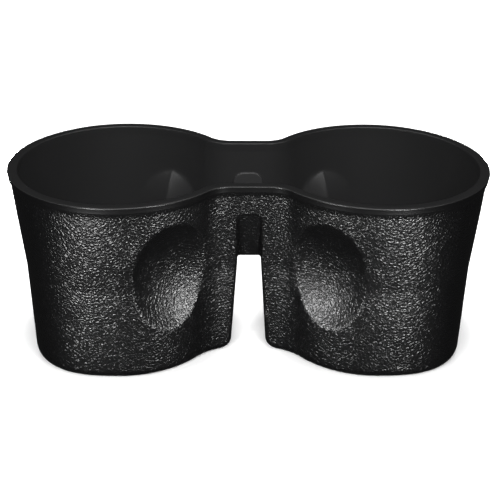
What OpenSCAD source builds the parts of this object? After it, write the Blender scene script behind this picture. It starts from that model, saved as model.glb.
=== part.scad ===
// Twin cup holder insert for a car console, moulded in one piece from soft black plastic.
// Two round wells stand side by side along X and join over a bridge. A slot under the
// bridge straddles the rib of the console. Z is up, and the origin is the middle of the base.

/* [Overall size] */
// Overall length over the rim
length = 205; // [190:1:225]
// Overall width over the rim
width = 99; // [94:1:110]
// Overall height
height = 82.5; // [76:0.5:95]
// Distance of each well's axis from the middle
well_x = 55; // [51:0.5:58]

/* [Rim] */
// Width over the neck at the rim
neck_w = 54.2; // [48:0.2:62]
// Radius of the four corners of the neck at the rim
neck_r = 11.7; // [9:0.1:15]
// Height of the smooth band under the rim
band_h = 2.7; // [1.5:0.1:5]
// How far the band stands out from the wall
band_out = 1; // [0.4:0.1:1.6]
// Rounding of the rim's edges
rim_edge_r = 0.5; // [0.3:0.1:1.2]

/* [Walls and floor] */
// Thickness of the walls
wall_t = 3.2; // [2.4:0.1:4]
// Thickness of the floors
floor_t = 3; // [2:0.1:5]
// Rounding between wall and floor inside
floor_r = 6; // [3:0.5:8]
// Length over the two wells at the foot
foot_len = 190; // [184:1:194]
// Width over the wells at the foot
foot_w = 84.4; // [80:0.2:88]
// Width over the neck at the foot
foot_neck_w = 36.4; // [33:0.2:42]
// Radius of the corners of the neck at the foot
foot_neck_r = 22; // [16:0.5:26]
// Squareness of the ends at the foot, where 2 is a plain ellipse
foot_square = 2.7; // [2:0.1:3.2]
// Rounding of the lower edge
foot_r = 4; // [2:0.5:6]
// Height at which the flare of the walls changes
knee_z = 42.6; // [30:0.2:55]
// Share of the flare that lies above that height
knee_share = 0.76; // [0.55:0.01:0.9]

/* [Slot] */
// Width of the slot at its roof
slot_w = 10; // [8:0.5:14]
// Width of the slot at the foot
slot_foot_w = 16; // [12:0.5:20]
// Height of the roof of the slot
slot_h = 46; // [38:0.5:54]
// Rounding of the slot's upper corners
slot_top_r = 1.2; // [0.6:0.1:3]
// Rounding of the lower corners of the legs
leg_r = 6; // [2:0.5:8]
// Thickness of the slot's sides and roof
slot_t = 3; // [2.4:0.1:4]

/* [Finger scoops] */
// Width of the scoop above the slot
scoop_w = 10; // [8:0.5:14]
// Height of the top of the scoop
scoop_z = 68.5; // [62:0.5:73]
// Rounding of the scoop's upper corners
scoop_r = 3; // [1.5:0.1:3.8]
// Depth of the scoop at its top
scoop_top_d = 1.4; // [0.6:0.1:2.5]
// Depth of the scoop at the roof of the slot
scoop_low_d = 5; // [3.5:0.1:6]
// Thickness of the skin behind the scoop
scoop_t = 2.6; // [2:0.1:3.2]

/* [Grip dents] */
// Angle of the front dents round their wells, from straight across towards the neck
dent_front_angle = 31.5; // [22:0.5:34]
// Angle of the rear dents
dent_rear_angle = 28; // [20:0.5:32]
// Height of the middle of the two front dents
dent_front_z = 46.5; // [42:0.5:50]
// Height of the middle of the two rear dents
dent_rear_z = 37; // [34:0.5:46]
// Lean of a dent, to face square out of the flared wall
dent_lean = 5; // [3:0.5:7]
// Radius of the dish
dent_r = 47; // [44:1:54]
// Depth of the dish below the wall at its middle
dent_d = 6.2; // [4:0.1:6.8]
// Thickness of the ridge of the bump behind the dish
ridge_t = 4; // [3.4:0.1:5]
// Half the distance between the centres of the bump's two faces
ridge_shift = 3; // [2:0.5:6]

/* [Hidden] */
black = [0.07, 0.07, 0.075];
$fn = 96;

// Points along each quarter of a section: outer end, inner side of the well, neck corner
end_steps = 12;
side_steps = 8;
corner_steps = 6;
// Steps in each rounding of the loft
foot_steps = 5;
edge_steps = 3;
// Levels between two breaks of the wall
wall_levels = 3;

// A section is [reach of the end, half width of the well, squareness, half width of the neck,
// radius of the neck's corner]. All of its sizes move by the same inset.
rim_section = [length / 2 - well_x, width / 2, 2, neck_w / 2, neck_r];
foot_section = [foot_len / 2 - well_x, foot_w / 2, foot_square, foot_neck_w / 2, foot_neck_r];
function inset(s, d) = [s[0] - d, s[1] - d, s[2], s[3] - d, s[4] + d];

// Share of the flare spent at height z, from 0 under the band to 1 at the base
band_z = height - band_h;
function flare(z) =
    z >= knee_z ? knee_share * (band_z - z) / (band_z - knee_z)
                : knee_share + (1 - knee_share) * (knee_z - z) / knee_z;
function mix(a, b, t) = a + (b - a) * t;
function wall_section(z) = mix(inset(rim_section, band_out), foot_section, flare(min(z, band_z)));

// Upper right quarter of a section, from the outer end to the flat of the neck
function quarter(s) =
    let (a = s[0], b = s[1], n = s[2], w = s[3], f = s[4])
    let (rise = w + f, run = sqrt(pow(b + f, 2) - pow(rise, 2)))
    let (side = 180 - atan2(rise, run))
    concat(
        [for (i = [0:end_steps - 1]) let (t = 90 * i / end_steps)
            [well_x + a * pow(cos(t), 2 / n), b * pow(sin(t), 2 / n)]],
        [for (i = [0:side_steps]) let (t = mix(90, side, i / side_steps))
            [well_x + b * cos(t), b * sin(t)]],
        [for (i = [1:corner_steps]) let (t = mix(side - 180, -90, i / corner_steps))
            [well_x - run + f * cos(t), rise + f * sin(t)]]);

// Closed ring of a section at height z, from the +X end over +Y to the -X end and back
function ring(s, z) =
    let (q = quarter(s), n = len(q))
    concat(
        [for (i = [0:n - 1]) [q[i][0], q[i][1], z]],
        [for (i = [n - 1:-1:0]) [-q[i][0], q[i][1], z]],
        [for (i = [1:n - 1]) [-q[i][0], -q[i][1], z]],
        [for (i = [n - 1:-1:1]) [q[i][0], -q[i][1], z]]);
quarter_points = end_steps + side_steps + corner_steps + 1;
ring_points = 4 * quarter_points - 2;

// Levels from high to low between two heights, the first left out
function levels(z0, z1, steps) = [for (i = [1:steps]) mix(z0, z1, i / steps)];

// Rings of the outside of the loft from the base up, then of the inside from the rim down
inside_t = band_out + wall_t;
floor_top = floor_t + floor_r;
outside_rings = concat(
    [for (i = [0:foot_steps]) let (t = 90 * i / foot_steps, z = foot_r * (1 - cos(t)))
        ring(inset(wall_section(z), foot_r * (1 - sin(t))), z)],
    [for (z = levels(foot_r, knee_z, wall_levels)) ring(wall_section(z), z)],
    [for (z = levels(knee_z, band_z - band_out, wall_levels)) ring(wall_section(z), z)],
    [ring(rim_section, band_z)],
    [for (i = [0:edge_steps]) let (t = 90 * i / edge_steps)
        ring(inset(rim_section, rim_edge_r * (1 - cos(t))), height - rim_edge_r * (1 - sin(t)))]);
inside_rings = concat(
    [for (i = [0:edge_steps]) let (t = 90 * i / edge_steps)
        ring(inset(rim_section, inside_t - rim_edge_r * (1 - sin(t))),
             height - rim_edge_r * (1 - cos(t)))],
    [ring(inset(wall_section(band_z), wall_t), band_z)],
    [for (z = levels(band_z, knee_z, wall_levels)) ring(inset(wall_section(z), wall_t), z)],
    [for (z = levels(knee_z, floor_top, wall_levels)) ring(inset(wall_section(z), wall_t), z)],
    [for (i = [1:foot_steps]) let (t = 90 * i / foot_steps, z = floor_top - floor_r * sin(t))
        ring(inset(wall_section(z), wall_t + floor_r * (1 - cos(t))), z)]);

// Skin through a list of rings, closed at both ends by strips across the section
function skin(rings) =
    let (n = ring_points, last = len(rings) - 1)
    concat(
        [for (r = [0:last - 1]) for (i = [0:n - 1]) let (j = (i + 1) % n)
            for (t = [[r * n + j, r * n + i, (r + 1) * n + j],
                      [r * n + i, (r + 1) * n + i, (r + 1) * n + j]]) t],
        strips(0, false), strips(last * n, true));
function strips(first, over) =
    let (n = ring_points, half = n / 2)
    [for (i = [0:half - 1])
        let (quad = i == 0 ? [0, 1, n - 1]
                  : i == half - 1 ? [i, half, half + 1]
                  : [i, i + 1, n - i - 1, n - i])
        [for (k = [0:len(quad) - 1]) first + quad[over ? len(quad) - 1 - k : k]]];

module cup_shell() {
    rings = concat(outside_rings, inside_rings);
    polyhedron(points = [for (r = rings) for (p = r) p], faces = skin(rings), convexity = 8);
}

// Extrudes its 2D child, drawn in X and Z, by a length along Y to both sides
module along_y(len) {
    rotate([90, 0, 0]) linear_extrude(height = len, center = true) children();
}

// Extrudes its 2D child, drawn in Y and Z, by a length along X to both sides
module along_x(len) {
    rotate([90, 0, 90]) linear_extrude(height = len, center = true) children();
}

// Arc of points round a centre, from one angle to another
arc_steps = 4;
function arc(centre, r, t0, t1) =
    [for (i = [0:arc_steps]) let (t = mix(t0, t1, i / arc_steps)) centre + r * [cos(t), sin(t)]];

// Outline in X and Z of the slot, grown by d, down to height z0
slot_slope = (slot_foot_w - slot_w) / 2 / slot_h;
module slot_outline(d, z0) {
    top = slot_h + d;
    top_r = slot_top_r + d;
    half = slot_w / 2 + d;
    foot = half + slot_slope * (top - z0);
    polygon(concat(
        [[-foot, z0], [foot, z0]],
        arc([half - top_r, top - top_r], top_r, 0, 90),
        arc([top_r - half, top - top_r], top_r, 90, 180)));
}

// Outline in X and Z that the slot gains round the lower corner of each leg
module leg_corners() {
    half = slot_w / 2 + slot_slope * (slot_h - leg_r);
    for (side = [-1, 1])
        polygon([for (p = concat([[0, leg_r], [0, -1], [half + leg_r, -1]],
                                 arc([half + leg_r, leg_r], leg_r, 270, 180)))
            [side * p[0], p[1]]]);
}

module slot() {
    along_y(width) slot_outline(0, -1);
    along_y(width) leg_corners();
}

// Outline in Y and Z of the neck between its two walls, moved in by d
module neck_profile(d, z0, z1) {
    right = [for (z = [z0, knee_z, z1]) [wall_section(z)[3] - d, z]];
    left = [for (i = [2:-1:0]) [-right[i][0], right[i][1]]];
    polygon(concat(right, left));
}

// Sides and roof of the slot, reaching to the middle of the neck's walls
module bridge() {
    z0 = floor_t / 2;
    intersection() {
        along_y(width) slot_outline(slot_t, z0);
        along_x(length) neck_profile(wall_t / 2, z0, scoop_z);
    }
}

// Outline in X and Z of a scoop, wider by d to each side and higher by up
module scoop_outline(d, up, z0) {
    half = scoop_w / 2 + d;
    top = scoop_z + up;
    r = scoop_r + d;
    polygon(concat(
        [[-half, z0], [half, z0]],
        arc([half - r, top - r], r, 0, 90),
        arc([r - half, top - r], r, 90, 180)));
}

// Distance of the scoop's face from the middle plane at height z
function scoop_y(z) =
    wall_section(z)[3] - mix(scoop_top_d, scoop_low_d, (scoop_z - z) / (scoop_z - slot_h));

// What the scoop takes out of the front wall of the neck
module scoop() {
    z0 = slot_h - slot_top_r;
    intersection() {
        along_y(width) scoop_outline(0, 0, z0);
        along_x(length)
            polygon([[-width, z0], [-scoop_y(z0), z0], [-scoop_y(scoop_z), scoop_z], [-width, scoop_z]]);
    }
}

// Skin behind the scoop, which stands out as an arch inside the neck
scoop_side_t = 2;
scoop_rise = 0.8;
module scoop_skin() {
    z0 = slot_h + slot_t / 2;
    z1 = scoop_z + scoop_rise;
    w0 = wall_section(z0)[3] - wall_t / 2;
    w1 = wall_section(z1)[3] - wall_t / 2;
    intersection() {
        along_y(width) scoop_outline(scoop_side_t, scoop_rise, z0);
        along_x(length)
            polygon([[-w0, z0], [scoop_t - scoop_y(z0), z0], [scoop_t - scoop_y(z1), z1], [-w1, z1]]);
    }
}

// Puts its children at the dent at height z of the well on the given side, front (-1) or
// rear (1), with +X square out of the wall
module at_dent(side, face, z) {
    angle = face < 0 ? dent_front_angle : dent_rear_angle;
    translate([side * well_x, 0, z])
        rotate([0, 0, face * (90 + side * angle)])
            translate([wall_section(z)[1], 0, 0]) rotate([0, dent_lean, 0]) children();
}

module dish() {
    translate([dent_r - dent_d, 0, 0]) sphere(r = dent_r);
}

// Bump behind the dish: two faces of one radius that meet in an upright ridge
module bump() {
    r = sqrt(pow(dent_r + ridge_t, 2) + pow(ridge_shift, 2));
    intersection_for (shift = [-1, 1])
        translate([dent_r - dent_d, shift * ridge_shift, 0]) sphere(r = r);
}

// Inside of a well out to the middle of its wall, to keep the bumps within
module well_core(side) {
    translate([side * well_x, 0, 0]) rotate_extrude()
        polygon(concat([[0, floor_t], [0, band_z]],
            [for (z = [band_z, knee_z, floor_t]) [wall_section(z)[1] - wall_t / 2, z]]));
}

// Runs its children for each well, as $side, and each face, as $face with the height $z
module each_dent() {
    for ($side = [-1, 1]) for ($face = [-1, 1]) {
        $z = $face < 0 ? dent_front_z : dent_rear_z;
        children();
    }
}

module cup_insert() {
    color(black) difference() {
        union() {
            cup_shell();
            bridge();
            scoop_skin();
            mirror([0, 1, 0]) scoop_skin();
            each_dent() intersection() {
                at_dent($side, $face, $z) bump();
                well_core($side);
            }
        }
        slot();
        scoop();
        mirror([0, 1, 0]) scoop();
        each_dent() at_dent($side, $face, $z) dish();
    }
}

cup_insert();
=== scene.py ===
"""Twin cup holder insert of a car console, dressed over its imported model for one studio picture."""

from dataclasses import dataclass
from math import cos, pi, radians, sin

import bmesh
import bpy
import numpy as np
from mathutils import Matrix, Vector


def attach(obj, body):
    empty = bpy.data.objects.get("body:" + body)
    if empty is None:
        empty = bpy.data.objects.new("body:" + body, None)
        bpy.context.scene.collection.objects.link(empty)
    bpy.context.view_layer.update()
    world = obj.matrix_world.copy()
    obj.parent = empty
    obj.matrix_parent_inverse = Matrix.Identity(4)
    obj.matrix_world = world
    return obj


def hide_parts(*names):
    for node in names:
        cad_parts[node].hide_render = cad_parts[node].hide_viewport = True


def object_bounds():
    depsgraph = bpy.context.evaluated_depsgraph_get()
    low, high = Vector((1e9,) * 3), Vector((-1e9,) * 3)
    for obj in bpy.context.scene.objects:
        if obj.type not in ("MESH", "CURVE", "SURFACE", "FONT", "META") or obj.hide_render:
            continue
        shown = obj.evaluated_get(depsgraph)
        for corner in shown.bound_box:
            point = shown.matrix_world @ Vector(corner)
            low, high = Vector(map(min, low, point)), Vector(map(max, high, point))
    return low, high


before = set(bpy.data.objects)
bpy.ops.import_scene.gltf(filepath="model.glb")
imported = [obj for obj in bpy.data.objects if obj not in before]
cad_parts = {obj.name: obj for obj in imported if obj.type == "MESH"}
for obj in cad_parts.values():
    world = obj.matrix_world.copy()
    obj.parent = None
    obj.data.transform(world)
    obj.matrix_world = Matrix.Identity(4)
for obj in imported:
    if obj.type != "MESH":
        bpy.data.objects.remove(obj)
cad_box = [list(corner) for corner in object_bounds()]


# Camera. It stands 0.43 m in front of the insert and 0.25 m above its base, and looks down on it
# at 26 degrees through a short telephoto lens, with a trace of roll.
PICTURE_PX = 500
FOCAL_PX = 1078.9
SENSOR_MM = 36
NEAR_CLIP = 0.01
CAMERA_AT = (-0.00862, -0.43111, 0.25164)
TURN, DROP, ROLL = radians(-1.245), radians(26.056), radians(0.637)

back = Vector((sin(TURN) * cos(DROP), -cos(TURN) * cos(DROP), sin(DROP)))
level = Vector((cos(TURN), sin(TURN), 0))
upright = back.cross(level)
right = level * cos(ROLL) + upright * sin(ROLL)
up = upright * cos(ROLL) - level * sin(ROLL)
camera = bpy.data.objects.new("camera", bpy.data.cameras.new("camera"))
bpy.context.scene.collection.objects.link(camera)
camera.data.sensor_width = SENSOR_MM
camera.data.lens = FOCAL_PX / PICTURE_PX * SENSOR_MM
camera.data.clip_start = NEAR_CLIP
camera.matrix_world = Matrix.Translation(CAMERA_AT) @ Matrix((right, up, back)).transposed().to_4x4()
bpy.context.scene.camera = camera


# Insert. One moulding of soft black rubber that stands loose in the pocket of the console: two
# round wells that run into each other over a low bridge. Its wall is a stack of sections, round at
# the rim, smaller and squarer at the foot, and in millimetres until the mesh is made.
MM = 0.001
LENGTH, WIDTH, HEIGHT = (round((high - low) / MM, 3) for low, high in zip(*cad_box))
WELL_X = 55
RIM_SQUARE = 2
NECK_WIDTH = 54.2
NECK_R = 11.7
FOOT_LENGTH = 190
FOOT_WIDTH = 84.4
FOOT_SQUARE = 2.7
FOOT_NECK_WIDTH = 36.4
FOOT_NECK_R = 22
BAND_H = 2.7
BAND_OUT = 1.0
BAND_Z = HEIGHT - BAND_H
KNEE_Z = 42.6
KNEE_SHARE = 0.76

# The five sizes of a section: reach of its end beyond the axis of the well, half width of the
# well, squareness of the end, half width of the neck, and radius of the neck's corner. INSET is
# what each gains when the section moves in by one. The rim's band stands out over the wall.
INSET = np.array([-1, -1, 0, -1, 1])
RIM = np.array([LENGTH / 2 - WELL_X, WIDTH / 2, RIM_SQUARE, NECK_WIDTH / 2, NECK_R])
WALL_TOP = RIM + BAND_OUT * INSET
WALL_FOOT = np.array([FOOT_LENGTH / 2 - WELL_X, FOOT_WIDTH / 2, FOOT_SQUARE, FOOT_NECK_WIDTH / 2,
                      FOOT_NECK_R])


def section(z, inset):
    """The five sizes at height z, moved in by inset. From the band down to the knee they go
    evenly through KNEE_SHARE of the way to the foot's, and from there evenly through the rest."""
    z = np.minimum(z, BAND_Z)
    above = KNEE_SHARE * (BAND_Z - z) / (BAND_Z - KNEE_Z)
    below = KNEE_SHARE + (1 - KNEE_SHARE) * (KNEE_Z - z) / KNEE_Z
    share = np.where(z >= KNEE_Z, above, below)
    inset = inset + 0 * z
    return [top + (foot - top) * share + step * inset
            for top, foot, step in zip(WALL_TOP, WALL_FOOT, INSET)]


def neck_corner(z, inset):
    """Centre of the neck's corner as x and y, its radius, and the radius of the well. The corner
    touches the side of the neck and the circle of the well, so its centre lies one radius beyond
    the side, and the sum of both radii from the axis of the well."""
    _, well_r, _, neck, corner_r = section(z, inset)
    corner_y = neck + corner_r
    corner_x = WELL_X - np.sqrt((well_r + corner_r) ** 2 - corner_y ** 2)
    return corner_x, corner_y, corner_r, well_r


def neck_y(x, z, inset):
    """Half width of the section at x, from the middle of the neck to where its corner meets the
    well: level as far as the corner's centre, then on the corner's circle."""
    corner_x, corner_y, corner_r, _ = neck_corner(z, inset)
    past = np.maximum(x - corner_x, 0)
    return corner_y - np.sqrt(corner_r ** 2 - past ** 2)


def neck_end(z, inset):
    """x at which the neck's corner meets the well, on the line between their centres."""
    corner_x, _, corner_r, well_r = neck_corner(z, inset)
    return WELL_X - well_r * (WELL_X - corner_x) / (well_r + corner_r)


# Angle of the front dents and the rear dents round their wells, from straight across, and the
# columns of the mesh: along the neck, round the well to the front dent, from there to the rear
# dent, on to straight across, and round the end
DENT_TURN = {-1: radians(31.5), 1: radians(28)}
NECK_COLUMNS = 8
NEAR_COLUMNS = 34
BETWEEN_COLUMNS = 3
FAR_COLUMNS = 24
END_COLUMNS = 22


def well_loop(z, inset, x_start):
    """One quarter of the section beyond x_start, row by row: the neck's corner by even steps of
    x, the inner side of the well by angles, with one column on the middle of each dent, and its
    end as a superellipse. Gives x, y and the direction into the wall."""
    z, inset, x_start = z[:, None], inset[:, None], x_start[:, None]
    reach, _, power, _, _ = section(z, inset)
    corner_x, corner_y, corner_r, well_r = neck_corner(z, inset)
    step = np.linspace(0, 1, NECK_COLUMNS + 1)[:-1]
    x_neck = x_start + (neck_end(z, inset) - x_start) * step
    y_neck = neck_y(x_neck, z, inset)
    past = np.maximum(x_neck - corner_x, 0) / corner_r
    side = pi - np.arctan2(corner_y, WELL_X - corner_x)
    front, rear = pi / 2 + DENT_TURN[-1], pi / 2 + DENT_TURN[1]
    near = side + (front - side) * np.linspace(0, 1, NEAR_COLUMNS + 1)[:-1]
    between = np.linspace(front, rear, BETWEEN_COLUMNS + 1)[:-1]
    far = np.linspace(rear, pi / 2, FAR_COLUMNS + 1)[:-1]
    turn = np.hstack([near, np.append(between, far) + 0 * z])
    end = pi / 2 * np.linspace(1, 0, END_COLUMNS + 1) + 0 * z
    x_end = WELL_X + reach * np.maximum(np.cos(end), 0) ** (2 / power)
    y_end = well_r * np.maximum(np.sin(end), 0) ** (2 / power)
    x = np.hstack([x_neck, WELL_X + well_r * np.cos(turn), x_end])
    y = np.hstack([y_neck, well_r * np.sin(turn), y_end])
    in_x = np.hstack([past, -np.cos(turn), 0 * end])
    in_y = np.hstack([-np.sqrt(1 - past ** 2), -np.sin(turn), 0 * end])
    return x, y, in_x, in_y


# Grip dents and the bumps behind them. Each dent is a dish of one radius, pressed into the wall
# at an angle round the well, and behind it two faces meet in an upright ridge. The rear pair
# sits lower than the front pair.
DENT_Z = {-1: 46.5, 1: 37}
DENT_LEAN = radians(5)
DISH_R = 47
DISH_DEEP = 6.2
RIDGE_THICK = 4
BUMP_WIDE = 18.3
BUMP_TALL = 25.8
TIP_SHARE = 0.1
FACES_FLAT = 0.8
DISH_EDGE = 0.35
BUMP_EDGE = 0.35


def exit_depth(points, inward, centre, radius):
    """Distance along inward from each point to where that line leaves a ball whose centre lies
    outside the insert, and so behind the point. It is below zero beyond the edge of the ball, and
    minus the radius where the line misses it."""
    to_centre = centre - points
    ahead = np.sum(to_centre * inward, axis=-1)
    square = radius ** 2 - np.sum(to_centre ** 2, axis=-1) + ahead ** 2
    depth = ahead + np.sqrt(np.maximum(square, 0))
    return np.where((ahead < 0) & (square > 0), depth, -radius)


def soft_max(a, b, blend):
    """The larger of two values, rounded where they are closer than blend."""
    near = np.maximum(blend - np.abs(a - b), 0)
    return np.maximum(a, b) + near ** 2 / (4 * blend)


def dent_frame(face):
    """Centre of the ball of the front dent, face -1, or the rear dent, face 1, the point where its
    middle meets the wall, and the way round the well there. The centre stands off the wall by the
    ball's radius less the depth of the dish, along a line that leans down."""
    z = DENT_Z[face]
    turn = face * (pi / 2 + DENT_TURN[face])
    well_r = section(np.array(float(z)), 0)[1]
    at = np.array([WELL_X + well_r * cos(turn), well_r * sin(turn), z])
    out = np.array([cos(DENT_LEAN) * cos(turn), cos(DENT_LEAN) * sin(turn), -sin(DENT_LEAN)])
    round_well = np.array([-sin(turn), cos(turn), 0])
    return at + out * (DISH_R - DISH_DEEP), at, round_well


def dish_depth(points, inward):
    """How deep the dishes press the wall in at each point."""
    depth = np.zeros(points.shape[:-1])
    for face in (-1, 1):
        centre, _, _ = dent_frame(face)
        depth = soft_max(depth, exit_depth(points, inward, centre, DISH_R), DISH_EDGE)
    return depth


def bump_height(points, inward):
    """How far the bumps stand out of the inside of the wall at each point: the ball behind the
    dish, divided by one plus FACES_FLAT times the share of the way from the ridge to the outline,
    which turns its round faces into flatter ones that meet in the ridge. The outline is an
    ellipse, BUMP_WIDE to each side and BUMP_TALL up and down, and a little blunt at its tips."""
    height = np.zeros(points.shape[:-1])
    for face in (-1, 1):
        centre, at, round_well = dent_frame(face)
        ball = exit_depth(points, inward, centre, DISH_R + RIDGE_THICK)
        aloft = (points[..., 2] - DENT_Z[face]) / BUMP_TALL
        wide = BUMP_WIDE * np.sqrt(np.maximum(1 - aloft ** 2, TIP_SHARE ** 2))
        away = np.minimum(np.abs((points - at) @ round_well) / wide, 1)
        height = soft_max(height, ball / (1 + FACES_FLAT * away), BUMP_EDGE)
    return height


# Openings of the neck. Outside, a slot straddles a rib of the pocket and runs up into a finger
# scoop. Inside, the bridge over the slot runs up into the arch behind the scoop. Both have a side
# that leans, a rounded shoulder, a roof, and a round-topped arch with a sloping face above it.
SLOT_HALF = 5
SLOT_FOOT_HALF = 8
SLOT_R = 1.2
SLOT_TOP = 46
SLOT_LEAN = (SLOT_FOOT_HALF - SLOT_HALF) / SLOT_TOP
SHOULDER_Z = SLOT_TOP - SLOT_R
SCOOP_Z = 68.5
SCOOP_TOP_DEEP = 1.4
SCOOP_LOW_DEEP = 5
FOOT_R = 4
LEG_R = 6
WALL_T = 3.2
FLOOR_T = 3
FLOOR_R = 6
BRIDGE_T = 3
BRIDGE_FOOT_R = 3
FOOT_STEPS = 7
SHOULDER_STEPS = 40


def rounding(z, foot, radius):
    """How far a quarter round of this radius, standing on height foot, has moved in at z."""
    left = np.clip(foot + radius - z, 0, radius)
    return radius - np.sqrt(radius ** 2 - left ** 2)


def scoop_face(z):
    """Distance of the scoop's face from the middle plane. Its depth in the wall grows evenly from
    the top of the scoop to the roof of the slot."""
    deeper = (SCOOP_LOW_DEEP - SCOOP_TOP_DEEP) * (SCOOP_Z - z) / (SCOOP_Z - SLOT_TOP)
    return section(z, 0)[3] - (SCOOP_TOP_DEEP + deeper)


def heights(stops):
    """Heights from stop to stop. Each stop is a height and the number of even steps from there to
    the next one."""
    parts = [np.linspace(z0, z1, steps + 1)[:-1] for (z0, steps), (z1, _) in zip(stops, stops[1:])]
    return np.append(np.concatenate(parts), stops[-1][0])


def along(x, z, share):
    """Points of a path at shares of its length."""
    length = np.append(0, np.cumsum(np.hypot(np.diff(x), np.diff(z))))
    return np.interp(share * length[-1], length, x), np.interp(share * length[-1], length, z)


@dataclass
class Opening:
    """One of the two openings. Its values are the height and the round of the wall's foot, the
    round of its side's foot, how far its wall lies in from the outside, half its width, the round
    of its shoulder, the arch's half width, corner and top, how far the arch's face lies behind the
    scoop's, the height where the grid above it takes over, and the round of its edge, which is at
    most a share of the depth there."""
    foot_z: float
    foot_r: float
    leg_r: float
    wall_in: float
    half: float
    shoulder_r: float
    arch_half: float
    arch_r: float
    arch_top: float
    face_back: float
    frame_z: float
    edge_r: float
    edge_share: float

    def __post_init__(self):
        away = self.arch_half - (self.half - self.shoulder_r)
        self.join_z = SHOULDER_Z + np.sqrt(max(self.shoulder_r ** 2 - away ** 2, 0))
        self.roof_z = SHOULDER_Z + self.shoulder_r

    def set_rows(self, stops):
        """Rows of the mesh: by angles up the round of the foot, then from stop to stop."""
        turn = np.linspace(0, pi / 2, FOOT_STEPS + 1)[:-1]
        self.rows = np.append(self.foot_z + self.foot_r * (1 - np.cos(turn)), heights(stops))

    def inset(self, z):
        """How far the wall round the opening lies in from the outside of the section."""
        return self.wall_in + rounding(z, self.foot_z, self.foot_r)

    def face(self, z):
        """Distance of the arch's face from the middle plane."""
        return scoop_face(z) - self.face_back

    def side(self, z):
        """x of the side at height z, up to where the arch leaves the shoulder."""
        over = np.clip(z - SHOULDER_Z, 0, self.join_z - SHOULDER_Z)
        lean = SLOT_LEAN * np.maximum(SHOULDER_Z - z, 0)
        return self.half + lean - self.shoulder_r + np.sqrt(self.shoulder_r ** 2 - over ** 2)

    def start(self, z):
        """x of the side at height z, with the round at the foot of the leg."""
        return self.side(z) + rounding(z, self.foot_z, self.leg_r)

    def roof(self, steps):
        """Shoulder and roof, from where the arch leaves them to the middle: x and z."""
        first = np.arcsin((self.join_z - SHOULDER_Z) / self.shoulder_r)
        turn = np.linspace(first, pi / 2, SHOULDER_STEPS)
        x = np.append((self.half - self.shoulder_r) + self.shoulder_r * np.cos(turn), 0)
        z = np.append(SHOULDER_Z + self.shoulder_r * np.sin(turn), self.roof_z)
        return along(x, z, np.linspace(0, 1, steps + 1))

    def arch(self, share_up, share_over):
        """Outline of the arch from its foot: up its side to the middle of its corner by the
        shares share_up, then over to the middle of its top by share_over."""
        turn = np.linspace(0, pi / 2, SHOULDER_STEPS + 1)
        flat = self.arch_half - self.arch_r
        x = np.concatenate([[self.arch_half], flat + self.arch_r * np.cos(turn), [0]])
        z = np.concatenate([[self.join_z], self.arch_top - self.arch_r * (1 - np.sin(turn)),
                            [self.arch_top]])
        length = np.append(0, np.cumsum(np.hypot(np.diff(x), np.diff(z))))
        corner = length[1 + SHOULDER_STEPS // 2] / length[-1]
        return along(x, z, np.concatenate([share_up * corner, corner + (1 - corner) * share_over]))


outside = Opening(foot_z=0, foot_r=FOOT_R, leg_r=LEG_R, wall_in=0, half=SLOT_HALF, shoulder_r=SLOT_R,
                  arch_half=SLOT_HALF, arch_r=3, arch_top=SCOOP_Z, face_back=0, frame_z=72.5,
                  edge_r=2, edge_share=0.6)
inside = Opening(foot_z=FLOOR_T, foot_r=FLOOR_R, leg_r=BRIDGE_FOOT_R, wall_in=WALL_T,
                 half=SLOT_HALF + BRIDGE_T, shoulder_r=SLOT_R + BRIDGE_T, arch_half=6.6, arch_r=4.6,
                 arch_top=69.3, face_back=2.6, frame_z=73, edge_r=0.8, edge_share=0.3)

# Heights of the rows, closer together where the dents are
DENTS_FROM = 16
outside.set_rows([(FOOT_R, 2), (LEG_R, 4), (DENTS_FROM, 38), (KNEE_Z, 3), (outside.join_z, 39),
                  (outside.frame_z, 0)])
inside.set_rows([(FLOOR_T + FLOOR_R, 4), (DENTS_FROM, 38), (KNEE_Z, 7), (inside.join_z, 36),
                 (inside.frame_z, 0)])
wall_above = heights([(outside.frame_z, 4), (BAND_Z - BAND_OUT, 0)])[1:]
lining_above = heights([(inside.frame_z, 4), (BAND_Z, 0)])[1:]

# Rim: a band that stands out, with a slope of 45 degrees below it, and leans in a little towards
# its lower edge, under a fine rounded lip. A row close to each edge of the band keeps its face
# flat, and two rows divide the flat top.
LIP_R = 0.3
LIP_ROWS = 5
BAND_LEAN = 0.14
EDGE_ROW = 0.3
TOP_ROWS = [0.6, 1.6]
lip_turn = np.linspace(0, pi / 2, LIP_ROWS)
lip_z = HEIGHT - LIP_R * (1 - np.sin(lip_turn))
lip_in = LIP_R * (1 - np.cos(lip_turn))
band_z = np.array([BAND_Z, BAND_Z + EDGE_ROW, HEIGHT - LIP_R - EDGE_ROW])
band_in = BAND_LEAN * (HEIGHT - band_z)
rim_z = np.concatenate([band_z, lip_z, [HEIGHT, HEIGHT], lip_z[::-1]])
rim_inset = np.concatenate([band_in - BAND_OUT, lip_in - BAND_OUT, TOP_ROWS, WALL_T - lip_in[::-1]])

# All rows in one run: up the outside, over the rim, and down the inside
row_z = np.concatenate([outside.rows, wall_above, rim_z, lining_above[::-1], inside.rows[::-1]])
row_inset = np.concatenate([outside.inset(outside.rows), 0 * wall_above, rim_inset,
                            WALL_T + 0 * lining_above, inside.inset(inside.rows[::-1])])
rim_x = outside.arch_half + (inside.arch_half - outside.arch_half) * np.linspace(0, 1, len(rim_z))
row_start = np.concatenate([
    outside.start(outside.rows), outside.arch_half + 0 * wall_above, rim_x,
    inside.arch_half + 0 * lining_above, inside.start(inside.rows[::-1])])
FRAME_SHARE = 0.33


def frame_x(z, inset, start):
    """x of the line where the grid of the neck gives way to the grid of the well: a share of the
    way from the opening to the end of the neck's corner."""
    return start + (neck_end(z, inset) - start) * FRAME_SHARE


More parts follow.
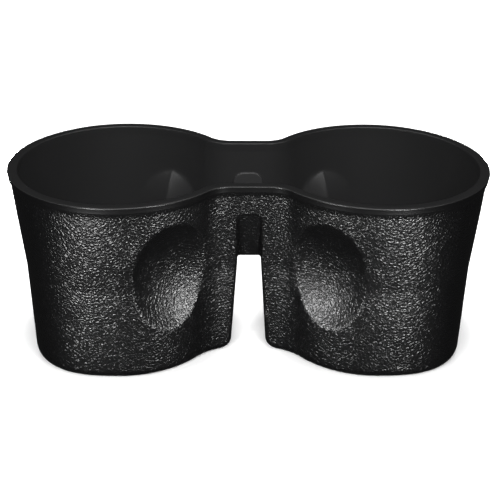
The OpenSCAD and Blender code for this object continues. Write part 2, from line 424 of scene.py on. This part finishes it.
# What the skin is at a point: leather grain, plain black, the rim's top with half the painted light,
# or the satin inside, painted lighter as painted light in the wells. The band and the first two rows
# of the lip over it are plain, and the last two rows of the lip are satin.
LEATHER, PLAIN, TOP, SATIN_PAINTED_LIGHT = 1.0, 0.5, 0.25, 0.0
LIP_SHARED = 2
patches = []


def patch(x, y, z, kind):
    """Keeps one grid of points, with the number that says what the skin is at each of them."""
    x, y, z, kind = np.broadcast_arrays(x, y, z, kind)
    patches.append((np.stack([x, y, z], axis=-1), kind))


# The wall from the frame line in front, round the well, to the frame line behind
x, y, in_x, in_y = well_loop(row_z, row_inset, frame_x(row_z, row_inset, row_start))
x, y = np.hstack([x, x[:, -2::-1]]), np.hstack([-y, y[:, -2::-1]])
in_x, in_y = np.hstack([in_x, in_x[:, -2::-1]]), np.hstack([-in_y, in_y[:, -2::-1]])
wall = np.stack([x, y, row_z[:, None] + 0 * x], axis=-1)
inward = np.stack([in_x, in_y, 0 * in_x], axis=-1)
rim_first = len(outside.rows) + len(wall_above)
rim_end = rim_first + len(rim_z)
wall[:rim_first] += inward[:rim_first] * dish_depth(wall[:rim_first], inward[:rim_first])[..., None]
wall[rim_end:] += inward[rim_end:] * bump_height(wall[rim_end:], inward[rim_end:])[..., None]
row = np.arange(len(row_z))[:, None]
top_first, top_end = rim_first + len(band_z) + LIP_SHARED, rim_end - LIP_SHARED
row_kind = np.select([row < rim_first, row < top_first, row < top_end], [LEATHER, PLAIN, TOP], SATIN_PAINTED_LIGHT)
patch(wall[..., 0], wall[..., 1], wall[..., 2], row_kind)

# The wall over the openings, from the middle to the frame line
ROOF_COLUMNS = 10
over = slice(len(outside.rows) - 1, len(row_z) - len(inside.rows) + 1)
over_z, over_inset = row_z[over, None], row_inset[over, None]
share = np.linspace(0, 1, ROOF_COLUMNS + 1)
over_x = frame_x(over_z, over_inset, row_start[over, None]) * share
over_y = neck_y(over_x, over_z, over_inset)
for face in (-1, 1):
    patch(over_x, face * over_y, over_z, row_kind[over])

# Each opening, as grids that share their edges
EDGE_COLUMNS = 5
COLLAR_COLUMNS = 4
SPAN_COLUMNS = 14
SLACK = 1e-6
edge_turn = np.linspace(0, pi / 2, EDGE_COLUMNS + 1)
for opening, wall_kind, slot_kind in ((outside, LEATHER, PLAIN), (inside, SATIN_PAINTED_LIGHT, SATIN_PAINTED_LIGHT)):
    # The collar: from the outline of the opening, over a quarter-round edge, to the frame line
    low = opening.rows[opening.rows <= opening.join_z + SLACK]
    high = opening.rows[len(low) - 1:]
    share_up = (high - high[0]) / (high[-1] - high[0])
    arch_x, arch_z = opening.arch(share_up, share[1:])
    edge_x = np.append(opening.start(low)[:-1], arch_x)
    edge_z = np.append(low[:-1], arch_z)
    side_x = frame_x(opening.rows, opening.inset(opening.rows), opening.start(opening.rows))
    line_x = np.append(side_x, side_x[-1] * (1 - share[1:]))
    line_z = np.append(opening.rows, opening.frame_z + 0 * share[1:])
    edge_deep = neck_y(edge_x, edge_z, opening.inset(edge_z)) - opening.face(edge_z)
    edge_r = np.minimum(opening.edge_r, opening.edge_share * edge_deep)[:, None]
    rounded = edge_r * (1 - np.cos(edge_turn)) / np.hypot(line_x - edge_x, line_z - edge_z)[:, None]
    across = np.linspace(0, 1, COLLAR_COLUMNS + 1)[1:]
    across = np.hstack([rounded, rounded[:, -1:] + (1 - rounded[:, -1:]) * across])
    fallen = np.hstack([edge_r * (1 - np.sin(edge_turn)), np.zeros((len(edge_x), COLLAR_COLUMNS))])
    collar_x = edge_x[:, None] + (line_x - edge_x)[:, None] * across
    collar_z = edge_z[:, None] + (line_z - edge_z)[:, None] * across
    collar_y = neck_y(collar_x, collar_z, opening.inset(collar_z)) - fallen

    # Side and roof, straight across from front to back. Between the two faces of the arch the
    # columns are even, and one more leads from each face to the edge of the opening.
    edge_y = collar_y[:, 0]
    arch_y = edge_y[len(low) - 1:]
    face_y = opening.face(arch_z)
    between = np.linspace(-1, 1, SPAN_COLUMNS + 1)
    fan = np.concatenate([[-1], face_y[0] / arch_y[0] * between, [1]])
    patch(edge_x[:len(low), None], edge_y[:len(low), None] * fan, low[:, None], slot_kind)
    roof_x, roof_z = opening.roof(ROOF_COLUMNS)
    patch(roof_x[:, None], opening.face(roof_z)[:, None] * between, roof_z[:, None], slot_kind)

    # The face of the arch fills the outline of roof, side and top: the blend of roof and top plus
    # the blend of side and middle, less what the corners have in both
    corner = len(high)
    top_x, top_z = arch_x[corner - 1:], arch_z[corner - 1:]
    up_x, up_z = arch_x[:corner, None], arch_z[:corner, None]
    middle_z = (roof_z[-1] + (top_z[-1] - roof_z[-1]) * share_up)[:, None]
    climb = share_up[:, None]
    fill_x = ((1 - climb) * roof_x + climb * top_x
              + (1 - share) * (up_x - (1 - climb) * roof_x[0] - climb * top_x[0]))
    fill_z = ((1 - climb) * roof_z + climb * top_z
              + (1 - share) * (up_z - (1 - climb) * roof_z[0] - climb * top_z[0])
              + share * (middle_z - (1 - climb) * roof_z[-1] - climb * top_z[-1]))
    for face in (-1, 1):
        patch(collar_x, face * collar_y, collar_z, wall_kind)
        patch(arch_x[:, None], face * np.stack([arch_y, face_y], axis=-1), arch_z[:, None],
              wall_kind)
        patch(fill_x, face * opening.face(fill_z), fill_z, wall_kind)

    # Base of the leg, or floor of the well: strips straight across from front to back
    foot = opening.rows[:1]
    loop_x, loop_y, _, _ = well_loop(foot, opening.inset(foot), side_x[:1])
    ring_x = np.append(collar_x[0, :-1], loop_x)
    ring_y = np.append(collar_y[0, :-1], loop_y)
    patch(ring_x[:, None], ring_y[:, None] * fan, foot[0], slot_kind)

# Both halves in one mesh, welded where the grids meet
WELD = 1e-6
corners, faces, kinds, count = [], [], [], 0
for points, kind in patches:
    rows, columns = kind.shape
    index = count + np.arange(rows * columns).reshape(rows, columns)
    quads = np.stack([index[:-1, :-1], index[1:, :-1], index[1:, 1:], index[:-1, 1:]], axis=-1)
    faces.append(quads.reshape(-1, 4))
    corners.append(points.reshape(-1, 3))
    kinds.append(kind.reshape(-1))
    count += rows * columns
corners, faces, kinds = np.concatenate(corners), np.concatenate(faces), np.concatenate(kinds)
corners = np.concatenate([corners, corners * (-1, 1, 1)]) * MM
faces = np.concatenate([faces, faces[:, ::-1] + count])
mesh = bpy.data.meshes.new("cup_insert_skin")
mesh.from_pydata(corners.tolist(), [], faces.tolist())
# The number in the grain attribute sets the grain and also the painted light of the inside and the
# rim's top.
mesh.attributes.new("grain", "FLOAT", "POINT").data.foreach_set("value", np.tile(kinds, 2))
body = bmesh.new()
body.from_mesh(mesh)
bmesh.ops.remove_doubles(body, verts=body.verts, dist=WELD)
bmesh.ops.dissolve_degenerate(body, edges=body.edges, dist=WELD)
bmesh.ops.recalc_face_normals(body, faces=body.faces)
body.to_mesh(mesh)
body.free()
mesh.shade_smooth()
skin = bpy.data.objects.new("cup_insert_skin", mesh)
bpy.context.scene.collection.objects.link(skin)

# The knife edges left at the slot, the scoops and the bridge get a small round
EDGE_ROUND = 0.25 * MM
KNIFE_EDGE = radians(55)
edges = skin.modifiers.new("edge round", "BEVEL")
edges.width = EDGE_ROUND
edges.segments = 2
edges.limit_method = "ANGLE"
edges.angle_limit = KNIFE_EDGE


class Socket:
    """A socket of a material. Sums and products of sockets and numbers add Math nodes, and node()
    adds any other node by its type, settings and inputs."""

    def __init__(self, tree, socket=None):
        self.tree = tree
        self.socket = socket

    def node(self, kind, settings, inputs, out=0):
        made = self.tree.nodes.new(kind)
        for name, value in settings.items():
            setattr(made, name, value)
        for name, value in inputs.items():
            if isinstance(value, Socket):
                self.tree.links.new(value.socket, made.inputs[name])
            else:
                made.inputs[name].default_value = value
        return Socket(self.tree, made.outputs[out])

    def math(self, operation, first, second):
        return self.node("ShaderNodeMath", {"operation": operation}, {0: first, 1: second})

    def blend(self, factor, first, second):
        """A colour that goes from the first to the second with the factor."""
        return self.node("ShaderNodeMix", {"data_type": "RGBA"},
                         {"Factor": factor, 6: first, 7: second}, 2)

    def __add__(self, other):
        return self.math("ADD", self, other)

    def __mul__(self, other):
        return self.math("MULTIPLY", self, other)

    __radd__ = __add__
    __rmul__ = __mul__


def new_material(name):
    """An empty node material, its first socket wrapper and its output node."""
    made = bpy.data.materials.new(name)
    made.use_nodes = True
    made.node_tree.nodes.clear()
    output = made.node_tree.nodes.new("ShaderNodeOutputMaterial")
    return made, Socket(made.node_tree), output


# The rubber is black right through. The mould gives the outside a leather grain, raised cells
# with finer pits that come and go a little. Its core is smooth, so the inside is satin. The inside's
# black is painted lighter, as painted light in the wells, and the rim's top gets half of it.
GRAIN_PER_M = 720
PITS_PER_M = 1450
DRIFT_PER_M = 120
WARP_PER_M = 500
WARP = 1.6 * MM
CELL_EDGE = 0.35
GRAIN_HIGH = 0.155 * MM
CELL_SHARE, PIT_SHARE = 0.7, 0.6
WEAK_GRAIN, GRAIN_DRIFT = 0.6, 0.8
ROUGH, ROUGH_DRIFT = 0.27, 0.06
# The inside's colour is the black with painted light added, for the light that falls into the wells.
BLACK_PAINTED_LIGHTER_INSIDE = (0.028, 0.028, 0.0285, 1)
BLACK_OUTSIDE = (0.0015, 0.0015, 0.0016, 1)
rubber, wire, output = new_material("insert_rubber")
place = wire.node("ShaderNodeTexCoord", {}, {}, "Object")
skin_kind = wire.node("ShaderNodeAttribute", {"attribute_name": "grain"}, {}, "Fac")
grained = wire.node("ShaderNodeMapRange", {}, {"Value": skin_kind, "From Min": PLAIN})
# Share of the plain black: 1 outside and on the band, a half on the rim's top, and 0 inside, where
# the painted light is full.
painted_light_off = wire.node("ShaderNodeMapRange", {}, {"Value": skin_kind, "From Max": PLAIN})
bend = wire.node("ShaderNodeTexNoise", {}, {"Vector": place, "Scale": WARP_PER_M, "Detail": 2},
                 "Color")
shifted = wire.node("ShaderNodeVectorMath", {"operation": "MULTIPLY_ADD"},
                    {0: bend, 1: (WARP, WARP, WARP), 2: place})
cells = wire.node("ShaderNodeTexVoronoi", {"feature": "DISTANCE_TO_EDGE"},
                  {"Vector": shifted, "Scale": GRAIN_PER_M})
pits = wire.node("ShaderNodeTexNoise", {}, {"Vector": place, "Scale": PITS_PER_M, "Detail": 2})
drift = wire.node("ShaderNodeTexNoise", {}, {"Vector": place, "Scale": DRIFT_PER_M, "Detail": 3})
raised = wire.node("ShaderNodeMapRange", {"interpolation_type": "SMOOTHSTEP"},
                   {"Value": cells, "From Max": CELL_EDGE})
height = (raised * CELL_SHARE + pits * PIT_SHARE) * (drift * GRAIN_DRIFT + WEAK_GRAIN) * grained
relief = wire.node("ShaderNodeBump", {}, {"Height": height, "Distance": GRAIN_HIGH})
shader = wire.node("ShaderNodeBsdfPrincipled", {},
                   {"Base Color": wire.blend(painted_light_off, BLACK_PAINTED_LIGHTER_INSIDE, BLACK_OUTSIDE),
                    "Roughness": ROUGH + drift * ROUGH_DRIFT, "Normal": relief, "IOR": 1.5})
rubber.node_tree.links.new(shader.socket, output.inputs["Surface"])
mesh.materials.append(rubber)
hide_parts("cup_insert")
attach(skin, "root")


# Floor. A wide sheet of white paper, which the camera sees a little brighter than its light makes
# it, and plain white from LIFT_TO metres round the axis of each well. The insert is lit by it as by
# a greyer sheet, doesn't mirror it, and gets the light of the strips' lower ends through it.
FLOOR_HALF = 4.0
PAPER_SEEN = (0.9, 0.9, 0.9, 1)
PAPER_FELT = (0.3, 0.3, 0.3, 1)
FLOOR_LIFT = 0.05
LIFT_FROM = 0.042
LIFT_TO = 0.065
floor_mesh = bpy.data.meshes.new("floor")
floor_mesh.from_pydata([(x * FLOOR_HALF, y * FLOOR_HALF, 0) for x, y in
                        ((-1, -1), (1, -1), (1, 1), (-1, 1))], [], [(0, 1, 2, 3)])
floor = bpy.data.objects.new("floor", floor_mesh)
bpy.context.scene.collection.objects.link(floor)
white, wire, output = new_material("white_sheet")
place = wire.node("ShaderNodeTexCoord", {}, {}, "Object")
by_camera = wire.node("ShaderNodeLightPath", {}, {}, "Is Camera Ray")
paper = wire.blend(by_camera, PAPER_FELT, PAPER_SEEN)
matt = wire.node("ShaderNodeBsdfDiffuse", {}, {"Color": paper})
folded = wire.node("ShaderNodeVectorMath", {"operation": "ABSOLUTE"}, {0: place})
beside = wire.node("ShaderNodeVectorMath", {"operation": "SUBTRACT"},
                   {0: folded, 1: (WELL_X * MM, 0, 0)})
far = wire.node("ShaderNodeVectorMath", {"operation": "LENGTH"}, {0: beside}, 1)
lift = wire.node("ShaderNodeMapRange", {"interpolation_type": "SMOOTHSTEP"},
                 {"Value": far, "From Min": LIFT_FROM, "From Max": LIFT_TO, "To Min": FLOOR_LIFT})
glow = wire.node("ShaderNodeEmission", {}, {"Strength": by_camera * lift})
both = wire.node("ShaderNodeAddShader", {}, {0: matt, 1: glow})
white.node_tree.links.new(both.socket, output.inputs["Surface"])
floor_mesh.materials.append(white)
floor.visible_glossy = False
floor.visible_shadow = False


# Light. Soft boxes that the camera doesn't see: narrow strips close by, two in front, a little to
# the left, and two behind, a small box high up at each side, a wide one above in front, and a wide
# one overhead. The sky is even and faint, and the camera sees it white.
SKY = 0.02
STRIP_TURN = 29
STRIP_SHIFT = -3
REAR_TURN = 150
SIDE_TURN = 65
MIDDLE = Vector((0, 0, 0.05))
world = bpy.data.worlds.new("studio")
bpy.context.scene.world = world
world.use_nodes = True
world.node_tree.nodes.clear()
wire = Socket(world.node_tree)
by_camera = wire.node("ShaderNodeLightPath", {}, {}, "Is Camera Ray")
sky = wire.node("ShaderNodeBackground", {}, {"Strength": by_camera * (1 - SKY) + SKY})
sky_out = world.node_tree.nodes.new("ShaderNodeOutputWorld")
world.node_tree.links.new(sky.socket, sky_out.inputs["Surface"])


def soft_box(name, turn, high, distance, size, bright):
    """An area lamp that faces the middle of the insert from this far away, turned round from the
    front and raised by degrees. Its brightness is in the units in which white paper has one, so
    its power is pi times its brightness times its area."""
    turn, high = radians(turn), radians(high)
    away = Vector((sin(turn) * cos(high), -cos(turn) * cos(high), sin(high)))
    lamp = bpy.data.objects.new(name, bpy.data.lights.new(name, "AREA"))
    lamp.data.shape = "RECTANGLE"
    lamp.data.size, lamp.data.size_y = size
    lamp.data.energy = bright * pi * size[0] * size[1]
    lamp.location = MIDDLE + away * distance
    lamp.rotation_mode = "QUATERNION"
    lamp.rotation_quaternion = away.to_track_quat("Z", "Y")
    lamp.visible_camera = False
    bpy.context.scene.collection.objects.link(lamp)


for side, hand in (("left", -1), ("right", 1)):
    soft_box("strip_" + side, turn=hand * STRIP_TURN + STRIP_SHIFT, high=-2, distance=0.275,
             size=(0.06, 0.09), bright=50)
    soft_box("strip_rear_" + side, turn=hand * REAR_TURN, high=-4, distance=0.275,
             size=(0.06, 0.09), bright=40)
    soft_box("high_" + side, turn=hand * SIDE_TURN, high=40, distance=0.5,
             size=(0.12, 0.2), bright=2.5)
soft_box("front", turn=0, high=45, distance=0.7, size=(0.6, 0.2), bright=10)
soft_box("over", turn=180, high=70, distance=0.6, size=(0.5, 0.25), bright=3.5)

bpy.context.scene.view_settings.view_transform = "Standard"
